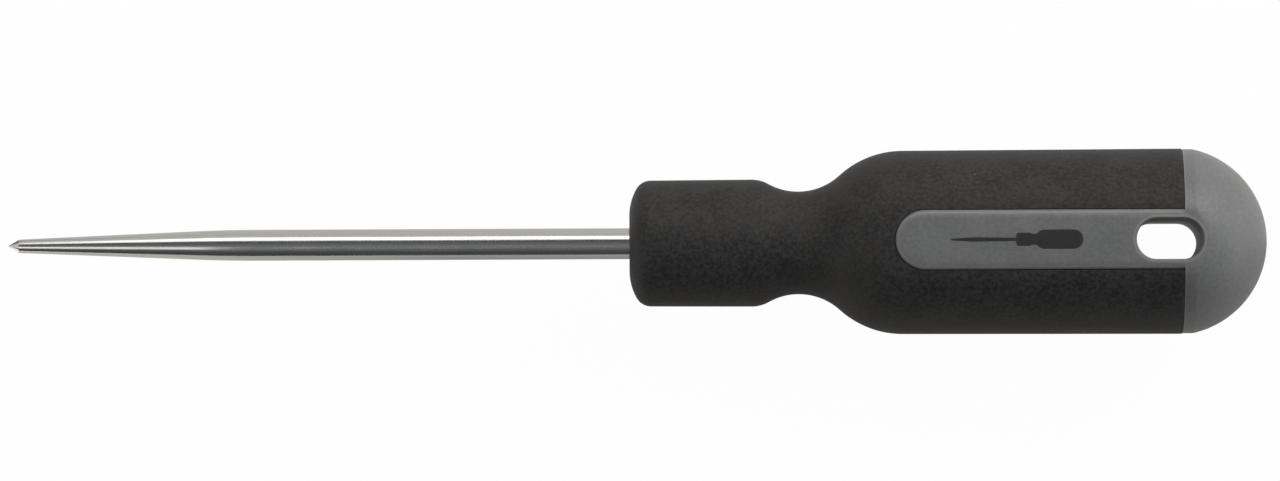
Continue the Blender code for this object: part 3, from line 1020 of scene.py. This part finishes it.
@dataclass
class Skin:
    """The handle's outside line, shared by the rubber and what lies under it."""

    datum: Datum
    collar_front: float = 0.01014
    collar_back: float = 0.01023
    crown_radius: float = 0.0088
    crown_turn: float = math.radians(29.3)
    corner_radius: float = 0.0027
    edge_radius: float = 0.0056
    neck_station: float = 0.0272
    neck_radius: float = 0.00827
    neck_arc: float = 0.00985
    shoulder_arc: float = 0.0151
    body_front: float = 0.01476
    body_back: float = 0.014916
    cap_length: float = 0.0137
    seam_bevel: Span = (0.00006, 0.00008)
    hole_bevel: float = 0.00015
    shoulder_chords: int = 36
    neck_chords: int = 30
    edge_chords: int = 14
    corner_chords: int = 16
    crown_chords: int = 10
    inner_chords: int = 14

    def __post_init__(self) -> None:
        """Work out the arcs' centres."""
        self.seam = self.datum.handle_length - self.cap_length
        self.neck = (self.neck_radius + self.neck_arc, self.neck_station)
        self.shoulder = self._beside(self.body_front - self.shoulder_arc, self.shoulder_arc, 1)
        self.edge = self._beside(self.collar_back - self.edge_radius, self.edge_radius, -1)
        reach = self.crown_radius - self.corner_radius
        self.corner = (
            self.collar_front - self.corner_radius,
            self.crown_radius - reach * math.cos(self.crown_turn),
        )
        self.crown = (self.corner[0] - reach * math.sin(self.crown_turn), self.crown_radius)

    def _beside(self, level: float, radius: float, side: int) -> Point:
        """Return the centre of an arc that touches the neck's arc.

        Args:
            level: Centre's distance from the axis.
            radius: Arc's radius.
            side: +1 towards the dome, -1 towards the tip.

        Returns:
            The centre.
        """
        rise = self.neck[0] - level
        along = math.sqrt((self.neck_arc + radius) ** 2 - rise**2)
        return (level, self.neck[1] + side * along)

    def outside(self, end: float, hole: float) -> list[Point]:
        """Return the rubber's outside from the seam to the rim of the blade's hole.

        Args:
            end: Station of the rubber's back end.
            hole: Radius of the blade's hole.

        Returns:
            The profile.
        """
        to_neck = direction(self.shoulder, self.neck)
        edge_to_neck = direction(self.edge, self.neck)
        corner_end = self.crown_turn - math.pi / 2
        last = self.radius_at(end)
        inward, ahead = self.seam_bevel
        shoulder = arc(self.shoulder, self.shoulder_arc, 0.0, to_neck, self.shoulder_chords)
        neck_turns = (to_neck + math.pi, edge_to_neck + math.pi)
        neck = arc(self.neck, self.neck_arc, *neck_turns, self.neck_chords)
        edge = arc(self.edge, self.edge_radius, edge_to_neck, 0.0, self.edge_chords)
        corner = arc(self.corner, self.corner_radius, 0.0, corner_end, self.corner_chords)
        crown = arc(self.crown, self.crown_radius, corner_end, -math.pi / 2, self.crown_chords)
        points = [(last - inward, end), (last, end - ahead)]
        points += shoulder + neck[1:] + edge[1:] + corner + crown[1:]
        points += [(hole + self.hole_bevel, 0.0), (hole, self.hole_bevel)]
        return points

    def radius_at(self, station: float) -> float:
        """Return the outside radius at a station behind the collar's corner.

        Args:
            station: The station.

        Returns:
            The radius.
        """
        rise = math.sin(direction(self.neck, self.shoulder))
        shoulder_start = self.neck[1] + self.neck_arc * rise
        edge_end = self.edge[1] + self.edge_radius * math.sin(direction(self.edge, self.neck))
        if station >= self.shoulder[1]:
            share = (station - self.shoulder[1]) / (self.seam - self.shoulder[1])
            return self.body_front + (self.body_back - self.body_front) * share
        if station >= shoulder_start:
            along = station - self.shoulder[1]
            return self.shoulder[0] + math.sqrt(self.shoulder_arc**2 - along**2)
        if station >= edge_end:
            return self.neck[0] - math.sqrt(self.neck_arc**2 - (station - self.neck[1]) ** 2)
        if station >= self.edge[1]:
            return self.edge[0] + math.sqrt(self.edge_radius**2 - (station - self.edge[1]) ** 2)
        share = (station - self.corner[1]) / (self.edge[1] - self.corner[1])
        return self.collar_front + (self.collar_back - self.collar_front) * share

    def under(self, inset: float, start: float, end: float) -> list[Point]:
        """Return a surface one inset below the skin.

        Args:
            inset: Depth under the skin.
            start: First station.
            end: Last station.

        Returns:
            The profile from start to end.
        """
        count = self.inner_chords
        span = self.shoulder[1] - self.edge[1]
        between = [self.edge[1] + span * index / count for index in range(count + 1)]
        stations = [start, *between, end]
        return [(self.radius_at(station) - inset, station) for station in stations]


@dataclass
class Blade:
    """The steel bar: steep point, slender cone, round shaft and the winged tang."""

    datum: Datum
    radius: float = 0.0025
    cone_length: float = 0.0350
    blend: float = 0.0050
    point_length: float = 0.0017
    point_radius: float = 0.00108
    tang_length: float = 0.0620
    tang_chamfer: float = 0.0005
    wing_setback: float = 0.0120
    wing_half: tuple[float, float, float] = (0.0040, 0.0043, 0.0012)
    blend_chords: int = 12
    cone_shares: tuple[float, float, float] = (0.66, 0.33, 0.03)
    grind_shares: Span = (0.985, 0.93)
    grind_length: float = 0.00009
    tip_flat: float = 0.00007
    steps: int = 96
    sharp: float = math.radians(16)

    def profile(self) -> list[Point]:
        """Return the blade's section from the tang's end to the tip.

        Returns:
            The profile.
        """
        tip = -self.datum.reach
        top = (self.point_radius, tip + self.point_length)
        corner = (self.radius, tip + self.cone_length)
        slope = (corner[0] - top[0]) / (corner[1] - top[1])
        points = [(0.0, self.tang_length), (self.radius - self.tang_chamfer, self.tang_length)]
        points.append((self.radius, self.tang_length - self.tang_chamfer))
        for index in range(self.blend_chords + 1):
            share = index / self.blend_chords
            station = corner[1] + self.blend * (1 - 2 * share)
            points.append((self.radius - slope * self.blend * share**2, station))
        length = corner[1] - self.blend - top[1]
        slender = [top[1] + length * share for share in self.cone_shares]
        points += [(self.radius - slope * (corner[1] - station), station) for station in slender]
        before, after = self.grind_shares
        points += [(top[0] * before, top[1]), (top[0] * after, top[1] - self.grind_length)]
        points += [(self.tip_flat, tip + self.tip_flat), (0.0, tip)]
        return points

    def build(self, finish: bpy.types.Material) -> bpy.types.Object:
        """Build the blade and tie it to the frame.

        Args:
            finish: Its material.

        Returns:
            The piece.
        """
        piece = Shaper.make_object("steel_blade", Shaper.spin(self.profile(), self.steps, False))
        middle = self.tang_length - self.wing_setback
        length, width, height = self.wing_half
        wings = Shaper.block((middle - length, -width, -height), (middle + length, width, height))
        Shaper.combine(piece, wings, BooleanKind.JOIN)
        Shaper.finish(piece, self.datum.place(), self.sharp)
        register(piece, finish, Slot.STEEL, "blade")
        return piece


@dataclass
class HardBody:
    """The grey moulding: dome and cap, both panels, the hang slot and the body under the rubber."""

    datum: Datum
    skin: Skin
    cap_radius: float = 0.01482
    cap_edge: float = 0.00012
    dome_radius: float = 0.01515
    panel_lead: float = 0.00144
    panel_width: float = 0.0096
    panel_lap: float = 0.0018
    panel_roll: float = 0.0015
    roll_depth: float = 0.00050
    panel_crown: float = 0.048
    ink_room: float = 0.00002
    panel_step: float = 0.00003
    slot_inset: float = 0.0161
    slot_length: float = 0.01065
    slot_width: float = 0.00645
    lip: float = 0.00045
    rubber_wall: float = 0.0020
    gap: float = 0.0003
    front_wall: float = 0.0030
    core_end: float = 0.0660
    core_neck: float = 0.0042
    core_bulb: float = 0.0074
    core_lead: float = 0.0053
    core_cone: float = 0.0040
    panel_foot: float = 0.0105
    softness: float = 0.00012
    lip_turn: float = math.radians(84)
    flare_share: float = 1.3
    flare_heights: Span = (0.0001, 0.002)
    dome_chords: int = 60
    edge_chords: int = 8
    lip_chords: int = 8
    slot_chords: int = 24
    panel_chords: int = 40
    roll_chords: int = 12
    steps: int = 160
    sharp: float = math.radians(13)

    @property
    def panel_height(self) -> float:
        """Return the panel's height over the axis."""
        return self.datum.panel_z - self.datum.axis_z

    @property
    def panel_front(self) -> float:
        """Return the station of the panel's rounded end."""
        return self.skin.shoulder[1] - self.panel_lead

    def profile(self) -> list[Point]:
        """Return the section without panels: dome, land, hidden body and the core's cavity.

        Returns:
            The profile.
        """
        seam = self.skin.seam
        dome = (0.0, self.datum.handle_length - self.dome_radius)
        foot = math.acos(self.cap_radius / self.dome_radius)
        edge = (self.cap_radius - self.cap_edge, seam + self.cap_edge)
        points = [(0.0, self.datum.handle_length)]
        points += arc(dome, self.dome_radius, math.pi / 2, foot, self.dome_chords)[1:]
        points += arc(edge, self.cap_edge, 0.0, -math.pi / 2, self.edge_chords)
        start = self.front_wall + self.gap
        points += reversed(self.skin.under(self.rubber_wall + self.gap, start, seam))
        bulb = self.core_bulb + self.gap
        neck = self.core_neck + self.gap
        bulb_front = self.skin.shoulder[1] - self.core_lead
        end = self.core_end + self.gap
        points += [(neck, start), (neck, bulb_front - self.core_cone)]
        points += [(bulb, bulb_front), (bulb, end), (0.0, end)]
        return points

    def _on_crown(self, point: Point, height: float) -> Vector:
        """Return a point of an outline at a height that follows the panels' crown.

        Args:
            point: The outline's point as (across, station).
            height: Height at the panel's middle; negative at the back panel.

        Returns:
            The point.
        """
        across, station = point
        drop = math.copysign(crown_drop(across, self.panel_crown), height)
        return Vector((station, across, height - drop))

    def slot_shape(self) -> bmesh.types.BMesh:
        """Return what the hang slot takes away, flared at both panels for rolled lips.

        Returns:
            The slot's shape.
        """
        top = self.panel_height
        side = []
        for index in range(self.lip_chords + 1):
            angle = self.lip_turn * index / self.lip_chords
            side.append((top - self.lip * (1 - math.sin(angle)), self.lip * (1 - math.cos(angle))))
        side += [(top + over, self.lip * self.flare_share) for over in self.flare_heights]
        levels = [(-height, flare) for height, flare in reversed(side)] + side
        middle = self.datum.handle_length - self.slot_inset
        rings = []
        for height, flare in levels:
            length, width = self.slot_length + 2 * flare, self.slot_width + 2 * flare
            outline = Shaper.slot_outline(middle, length, width, self.slot_chords)
            rings.append([self._on_crown(point, height) for point in outline])
        return Shaper.loft(rings)

    def build(self, finish: bpy.types.Material) -> bpy.types.Object:
        """Build the hard body and tie it to the frame.

        Args:
            finish: Its material.

        Returns:
            The piece.
        """
        shape = Shaper.spin(self.profile(), self.steps, False)
        top = self.panel_height - self.ink_room
        Shaper.press(shape, top - self.panel_step, self.panel_crown, self.softness)
        piece = Shaper.make_object("grey_body", shape)
        back = self.skin.seam + self.panel_lap
        outline = Shaper.rounded_outline(
            self.panel_front, back, self.panel_width, self.panel_chords
        )
        for turn, height in ((0.0, top), (math.pi, self.panel_height)):
            panel = Shaper.strip(
                outline, self.panel_foot, height, self.panel_roll, self.roll_depth, self.roll_chords
            )
            Shaper.crown(panel, self.panel_crown, self.panel_width / 2)
            bmesh.ops.transform(panel, matrix=Matrix.Rotation(turn, 4, "X"), verts=panel.verts)
            Shaper.combine(piece, panel, BooleanKind.JOIN)
        Shaper.combine(piece, self.slot_shape(), BooleanKind.CUT)
        Shaper.finish(piece, self.datum.place(), self.sharp)
        register(piece, finish, Slot.GREY, "handle_body")
        return piece


@dataclass
class Grip:
    """The black rubber sleeve: collar, neck, body, and a window round each panel."""

    datum: Datum
    skin: Skin
    body: HardBody
    window_gap: float = 0.00010
    window_depth: float = 0.00034
    window_lap: float = 0.002
    window_top: float = 0.018
    softness: float = 0.0004
    seam_gap: float = 0.00004
    hole: float = 0.00254
    steps: int = 128

    def profile(self) -> list[Point]:
        """Return the sleeve's closed section.

        Returns:
            The profile.
        """
        end = self.skin.seam - self.seam_gap
        inside = self.skin.under(self.body.rubber_wall, self.body.front_wall, end)
        return self.skin.outside(end, self.hole) + [(self.hole, self.body.front_wall)] + inside

    def build(self, finish: bpy.types.Material) -> bpy.types.Object:
        """Build the grip and tie it to the frame.

        Args:
            finish: Its material.

        Returns:
            The piece.
        """
        shape = Shaper.spin(self.profile(), self.steps, True)
        level = self.body.panel_height - self.window_depth
        Shaper.press(shape, level, self.body.panel_crown, self.softness)
        piece = Shaper.make_object("rubber_sleeve", shape)
        outline = Shaper.rounded_outline(
            self.body.panel_front - self.window_gap,
            self.skin.seam + self.window_lap,
            self.body.panel_width + 2 * self.window_gap,
            self.body.panel_chords,
        )
        for turn in (0.0, math.pi):
            window = Shaper.strip(outline, self.body.panel_foot, self.window_top)
            bmesh.ops.transform(window, matrix=Matrix.Rotation(turn, 4, "X"), verts=window.verts)
            Shaper.combine(piece, window, BooleanKind.CUT)
        Shaper.finish(piece, self.datum.place(), self.body.sharp)
        register(piece, finish, Slot.RUBBER, "rubber_grip")
        return piece


@dataclass
class PanelSign:
    """A small printed sign on the front panel: the outline of an awl, filled in."""

    datum: Datum
    skin: Skin
    blade: Blade
    body: HardBody
    middle: float = 0.0620
    length: float = 0.0212
    thickness: float = 0.000012
    dome_turns: Span = (math.radians(84), math.radians(14))
    dome_chords: int = 9
    needle_growth: float = 1.35
    needle_least: float = 0.0004
    crown_reach: float = 0.0016
    sharp: float = math.radians(30)

    def outline(self) -> list[Point]:
        """Return the sign's closed outline.

        Returns:
            (across, station) points.
        """
        scale = self.length / (self.datum.dome_x - self.datum.tip_x)
        shift = self.middle - scale * (self.datum.handle_length - self.datum.reach) / 2
        dome = (0.0, self.datum.handle_length - self.body.dome_radius)
        handle = arc(dome, self.body.dome_radius, *self.dome_turns, self.dome_chords)
        handle += self.skin.outside(self.skin.seam, self.blade.radius)[1:]
        needle = [point for point in self.blade.profile() if point[1] < 0]
        handle += [
            (max(radius * self.needle_growth, self.needle_least), station)
            for radius, station in needle
        ]
        side = [(radius * scale, shift + station * scale) for radius, station in handle]
        thinned = side[::2] + [side[-1]]
        return thinned + [(-across, station) for across, station in reversed(thinned)]

    def build(self, finish: bpy.types.Material) -> bpy.types.Object:
        """Build the sign and tie it to the frame.

        Args:
            finish: Its material.

        Returns:
            The piece.
        """
        low = self.body.panel_height - self.body.ink_room
        shape = Shaper.strip(self.outline(), low, low + self.thickness)
        Shaper.crown(shape, self.body.panel_crown, self.crown_reach)
        piece = Shaper.make_object("panel_sign", shape)
        Shaper.finish(piece, self.datum.place(), self.sharp)
        register(piece, finish, Slot.RUBBER)
        return piece


def register(
    piece: bpy.types.Object, finish: bpy.types.Material, slot: Slot, *nodes: str
) -> None:
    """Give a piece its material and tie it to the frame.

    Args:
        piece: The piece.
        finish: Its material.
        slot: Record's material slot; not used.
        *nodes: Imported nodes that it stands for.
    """
    piece.data.materials.clear()
    piece.data.materials.append(finish)
    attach(piece, ROOT)
    if nodes:
        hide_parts(*nodes)
    LOG.info("%s: %d faces", piece.name, len(piece.data.polygons))


@dataclass(frozen=True)
class Lamp:
    """A soft rectangular lamp that aims at the awl.

    Args:
        name: Lamp's name.
        tilt: Angle from overhead in degrees, towards +Y or along turn.
        turn: Bearing of the tilt in degrees; 0 is +Y and -90 is +X.
        distance: Distance from the awl.
        size: Size along the awl and across it.
        power: Watts.
        mirrored: Whether polished pieces show it.
        shift: How far it is moved along the awl.
        colour: Its light's colour.
    """

    name: str
    tilt: float
    turn: float
    distance: float
    size: Span
    power: float
    mirrored: bool = False
    shift: float = 0.0
    colour: Colour = WHITE


@dataclass(frozen=True)
class FloorCard:
    """A card on the floor beside the awl.

    Args:
        name: Card's name.
        side: +1 for +Y and -1 for -Y.
        stops: (distance as a share of the card's depth, level) pairs.
    """

    name: str
    side: int
    stops: tuple[Stop, ...]


@dataclass(frozen=True)
class Zone:
    """A stretch along X where a card has another colour.

    Args:
        start: X where it starts to turn.
        end: X from which it has turned, and on.
        colour: The other colour.
    """

    start: float
    end: float
    colour: Colour


class StageMaterial(NodeMaker):
    """A material of the studio, without a Principled shader."""

    def __init__(self, name: str) -> None:
        """Start a material.

        Args:
            name: Material's name.
        """
        self.material = bpy.data.materials.new(name)
        self.material.use_nodes = True
        super().__init__(self.material.node_tree)
        self.tree.nodes.remove(self.tree.nodes["Principled BSDF"])

    def show(self, shader: bpy.types.NodeSocket) -> None:
        """Let the material show a shader."""
        self.feed(self.tree.nodes["Material Output"].inputs["Surface"], shader)

    def glow(self, colour: Feed) -> None:
        """Let the material glow.

        Args:
            colour: The glow's colour.
        """
        node = self.add("ShaderNodeEmission")
        self.feed(node.inputs["Color"], colour)
        self.show(node.outputs[0])

    def mix(
        self, share: Feed, first: bpy.types.NodeSocket, second: bpy.types.NodeSocket
    ) -> bpy.types.NodeSocket:
        """Mix two shaders.

        Args:
            share: Share of the second shader.
            first: First shader.
            second: Second shader.

        Returns:
            The shader socket.
        """
        node = self.add("ShaderNodeMixShader")
        for target, source in zip(node.inputs, (share, first, second)):
            self.feed(target, source)
        return node.outputs[0]

    def split(self) -> bpy.types.Node:
        """Split the card's own place.

        Returns:
            The node with the outputs X, Y and Z.
        """
        node = self.add("ShaderNodeSeparateXYZ")
        self.feed(node.inputs[0], self.add("ShaderNodeTexCoord").outputs["Object"])
        return node

    def ramp(
        self,
        place: bpy.types.NodeSocket,
        span: Span,
        stops: Sequence[Stop],
        tint: Colour = WHITE,
    ) -> bpy.types.NodeSocket:
        """Turn a place on a card into a level of one tint.

        Args:
            place: Coordinate.
            span: Coordinates that map to 0 and 1.
            stops: (position, level) pairs.
            tint: Colour at level 1.

        Returns:
            The colour socket.
        """
        node = self.add("ShaderNodeValToRGB")
        self.feed(node.inputs[0], self.spread(place, source=span))
        first, last = node.color_ramp.elements
        first.position, last.position = stops[0][0], stops[-1][0]
        for position, _ in stops[1:-1]:
            node.color_ramp.elements.new(position)
        for stop, (_, level) in zip(node.color_ramp.elements, stops):
            stop.color = (*(level * part for part in tint), 1.0)
        return node.outputs["Color"]


@dataclass
class Studio:
    """Floor, cards, lamps and camera."""

    datum: Datum
    floor_glow: float = 0.98
    floor_paint: Colour = (0.82, 0.82, 0.82)
    floor_half: float = 6.0
    floor_drop: float = 0.0002
    world_fill: float = 0.31
    card_half: float = 5.0
    arch_radius: float = 2.6
    arch_span: Span = (29.0, -90.0)
    arch_chords: int = 40
    arch_stops: tuple[Stop, ...] = (
        (0.0, 0.09),
        (0.04, 0.09),
        (0.18, 0.18),
        (0.37, 0.26),
        (0.60, 0.18),
        (0.68, 0.10),
    )
    arch_tint: Colour = (0.96, 1.0, 1.03)
    patch_stops: tuple[Stop, ...] = ((0.18, 0.0), (0.25, 1.0), (0.34, 1.0), (0.41, 0.0))
    patch_end: Span = (-0.41, -0.32)
    patch_colour: Colour = (2.30, 2.20, 2.05)
    back_span: Span = (57.0, 90.0)
    back_colour: Colour = (0.78, 0.77, 0.74)
    card_drop: float = 0.0001
    card_tint: Colour = (1.04, 1.0, 0.94)
    # The front card's level falls towards the awl: painted shade, standing for the floor's shadow
    # beside the awl as the bar's lower edges mirror it.
    front_card: FloorCard = FloorCard(
        "front_floor_card", -1, ((0.0, 0.40), (0.012, 0.46), (0.035, 0.60))
    )
    rear_card: FloorCard = FloorCard("back_floor_card", 1, ((0.0, 0.74), (0.03, 0.80)))
    cone_zone: Zone = Zone(-0.030, -0.075, (0.79, 0.74, 0.67))
    past_tip: Span = (0.005, 0.009)
    front_past_tip: Colour = (1.75, 1.72, 1.66)
    rear_past_tip: Colour = (0.20, 0.20, 0.20)
    lamps: tuple[Lamp, ...] = (
        Lamp(
            name="strip",
            tilt=46.0,
            turn=0.0,
            distance=1.0,
            size=(1.01, 0.37),
            power=2.31,
            mirrored=True,
            shift=0.295,
            colour=(1.0, 0.99, 0.95),
        ),
        Lamp(
            name="strip_end",
            tilt=46.0,
            turn=0.0,
            distance=1.0,
            size=(0.59, 0.37),
            power=1.34,
            shift=-0.505,
            colour=(1.0, 0.99, 0.95),
        ),
        Lamp(
            name="broad",
            tilt=62.0,
            turn=-45.0,
            distance=1.6,
            size=(0.8, 0.8),
            power=16.5,
            colour=(1.0, 0.99, 0.97),
        ),
        Lamp(name="side", tilt=85.0, turn=-90.0, distance=1.6, size=(1.2, 0.8), power=11.0),
    )
    camera_distance: float = 2.1
    camera_tilt: float = 1.7
    camera_roll: float = -0.25
    camera_reach: float = 50.0
    sensor_width: float = 36.0
    view_width: float = 0.20608
    aim: Point = (0.00041, 0.0005)

    def build(self) -> None:
        """Build the whole studio."""
        self._world()
        self._floor()
        self._arch()
        self._back_card()
        start, end = (self.datum.tip_x - distance for distance in self.past_tip)
        front_zones = (self.cone_zone, Zone(start, end, self.front_past_tip))
        self._floor_card(self.front_card, front_zones)
        self._floor_card(self.rear_card, (Zone(start, end, self.rear_past_tip),))
        for lamp in self.lamps:
            self._lamp(lamp)
        self._camera()

    @staticmethod
    def _seen_share(maker: NodeMaker) -> bpy.types.NodeSocket:
        """Return 1 for camera, mirror and glass rays and 0 for the rest.

        Args:
            maker: What adds the nodes.

        Returns:
            The share socket.
        """
        path = maker.add("ShaderNodeLightPath")
        direct = maker.math(
            "MAXIMUM", path.outputs["Is Camera Ray"], path.outputs["Is Glossy Ray"]
        )
        return maker.math("MAXIMUM", direct, path.outputs["Is Transmission Ray"])

    def _world(self) -> None:
        """Make a white surround that fills shadows softly."""
        world = bpy.data.worlds.new("surround")
        bpy.context.scene.world = world
        world.use_nodes = True
        maker = NodeMaker(world.node_tree)
        glow = world.node_tree.nodes["Background"]
        maker.feed(glow.inputs["Color"], WHITE)
        strength = maker.spread(self._seen_share(maker), (self.world_fill, 1.0))
        maker.feed(glow.inputs["Strength"], strength)

    def _floor(self) -> None:
        """Lay a white floor that keeps a soft shadow and is clear from below."""
        shape = bmesh.new()
        bmesh.ops.create_grid(shape, x_segments=1, y_segments=1, size=self.floor_half)
        floor = Shaper.make_object("studio_floor", shape)
        floor.location = (0.0, 0.0, -self.floor_drop)
        white = StageMaterial("white_floor")
        matt = white.add("ShaderNodeBsdfDiffuse")
        white.feed(matt.inputs["Color"], self.floor_paint)
        glow = white.add("ShaderNodeEmission")
        share = white.math("MULTIPLY", self._seen_share(white), self.floor_glow)
        above = white.mix(share, matt.outputs[0], glow.outputs[0])
        clear = white.add("ShaderNodeBsdfTransparent")
        side = white.add("ShaderNodeNewGeometry")
        white.show(white.mix(side.outputs["Backfacing"], above, clear.outputs[0]))
        floor.data.materials.append(white.material)

    @staticmethod
    def _mirror_only(card: bpy.types.Object, finish: StageMaterial) -> None:
        """Give a card its material and let only mirrored light meet it.

        Args:
            card: The card.
            finish: Its material.
        """
        card.data.materials.append(finish.material)
        card.visible_camera = False
        card.visible_diffuse = False
        card.visible_transmission = False
        card.visible_shadow = False

    def _sheet(self, name: str, line: Sequence[Point]) -> bpy.types.Object:
        """Draw a line across the awl out into a sheet along it.

        Args:
            name: Sheet's name.
            line: (y, z) points.

        Returns:
            The sheet.
        """
        shape = bmesh.new()
        verts = [shape.verts.new((-self.card_half, y, z)) for y, z in line]
        edges = [shape.edges.new(pair) for pair in zip(verts, verts[1:])]
        grown = bmesh.ops.extrude_edge_only(shape, edges=edges)
        moved = [item for item in grown["geom"] if isinstance(item, bmesh.types.BMVert)]
        bmesh.ops.translate(shape, verts=moved, vec=(2 * self.card_half, 0.0, 0.0))
        return Shaper.make_object(name, shape)

    def _curve(self, start: float, end: float) -> list[Point]:
        """Return an arc over the awl.

        Args:
            start: First angle from overhead in degrees, positive towards +Y.
            end: Last angle.

        Returns:
            (y, z) points.
        """
        points = []
        for index in range(self.arch_chords + 1):
            angle = math.radians(start + (end - start) * index / self.arch_chords)
            points.append((self.arch_radius * math.sin(angle), self.arch_radius * math.cos(angle)))
        return points

    def _arch(self) -> None:
        """Hang a dark arch over the awl, with a lit patch that only the slender cone shows."""
        arch = self._sheet("dark_arch", self._curve(*self.arch_span))
        dark = StageMaterial("dark_arch")
        place = dark.split()
        span = (-self.arch_radius, self.arch_radius)
        level = dark.ramp(place.outputs["Y"], span, self.arch_stops, self.arch_tint)
        band = dark.ramp(place.outputs["Y"], span, self.patch_stops)
        stretch = dark.ramp(place.outputs["X"], self.patch_end, ((0.0, 1.0), (1.0, 0.0)))
        share = dark.math("MULTIPLY", band, stretch)
        dark.glow(dark.blend(share, level, self.patch_colour))
        self._mirror_only(arch, dark)

    def _back_card(self) -> None:
        """Stand a pale card behind the awl for the grey along the bar's far side."""
        card = self._sheet("back_card", self._curve(*self.back_span))
        pale = StageMaterial("back_card")
        pale.glow(self.back_colour)
        self._mirror_only(card, pale)

    def _floor_card(self, plan: FloorCard, zones: Sequence[Zone]) -> None:
        """Lay a grey card beside the awl for the bar's lower edges.

        Args:
            plan: The card's values.
            zones: Where along X it is of another colour.
        """
        reach = plan.side * self.arch_radius
        card = self._sheet(plan.name, ((0.0, -self.card_drop), (reach, -self.card_drop)))
        grey = StageMaterial(plan.name)
        place = grey.split()
        colour = grey.ramp(place.outputs["Y"], (0.0, reach), plan.stops, self.card_tint)
        for zone in zones:
            share = grey.spread(place.outputs["X"], source=(zone.start, zone.end))
            colour = grey.blend(share, colour, zone.colour)
        grey.glow(colour)
        self._mirror_only(card, grey)

    def _lamp(self, plan: Lamp) -> None:
        """Add a lamp.

        Args:
            plan: The lamp's values.
        """
        data = bpy.data.lights.new(plan.name, "AREA")
        data.shape = "RECTANGLE"
        data.size, data.size_y = plan.size
        data.energy = plan.power
        data.color = plan.colour
        lamp = bpy.data.objects.new(plan.name, data)
        bpy.context.scene.collection.objects.link(lamp)
        turn = Matrix.Rotation(math.radians(plan.turn), 3, "Z")
        turn = turn @ Matrix.Rotation(-math.radians(plan.tilt), 3, "X")
        lamp.location = turn @ Vector((0.0, 0.0, plan.distance))
        lamp.location += Vector((plan.shift, 0.0, self.datum.axis_z))
        lamp.rotation_euler = turn.to_euler()
        lamp.visible_camera = False
        lamp.visible_glossy = plan.mirrored

    def _camera(self) -> None:
        """Set the camera nearly overhead, as in the photo."""
        data = bpy.data.cameras.new("camera")
        data.sensor_width = self.sensor_width
        data.lens = self.sensor_width * self.camera_distance / self.view_width
        data.clip_end = self.camera_reach
        camera = bpy.data.objects.new("camera", data)
        bpy.context.scene.collection.objects.link(camera)
        tilt, roll = math.radians(self.camera_tilt), math.radians(self.camera_roll)
        back = Vector((0.0, -math.sin(tilt), math.cos(tilt)))
        aim = Vector((self.aim[0], self.aim[1], self.datum.axis_z))
        camera.location = aim + back * self.camera_distance
        turn = Matrix.Rotation(tilt, 3, "X") @ Matrix.Rotation(roll, 3, "Z")
        camera.rotation_euler = turn.to_euler()
        bpy.context.scene.camera = camera


def main() -> None:
    """Dress the awl and set the studio."""
    logging.basicConfig(level=logging.INFO, format="%(name)s: %(message)s")
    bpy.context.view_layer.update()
    datum = Datum.from_frame()
    effects = Effects()
    skin = Skin(datum)
    body = HardBody(datum, skin)
    grey = GreyFinish().make(effects, datum, body)
    rubber = RubberFinish().make(effects, datum)
    blade = Blade(datum)
    blade.build(SteelFinish().make(effects))
    body.build(grey)
    Grip(datum, skin, body).build(rubber)
    PanelSign(datum, skin, blade, body).build(InkFinish().make(effects))
    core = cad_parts["tang_core"]
    core.data.materials.clear()
    core.data.materials.append(CoreFinish().make(effects))
    LOG.info("tang_core: packed mesh, %d faces", len(core.data.polygons))
    Studio(datum).build()
    bpy.context.scene.view_settings.view_transform = "Standard"


if __name__ == "__main__":
    main()
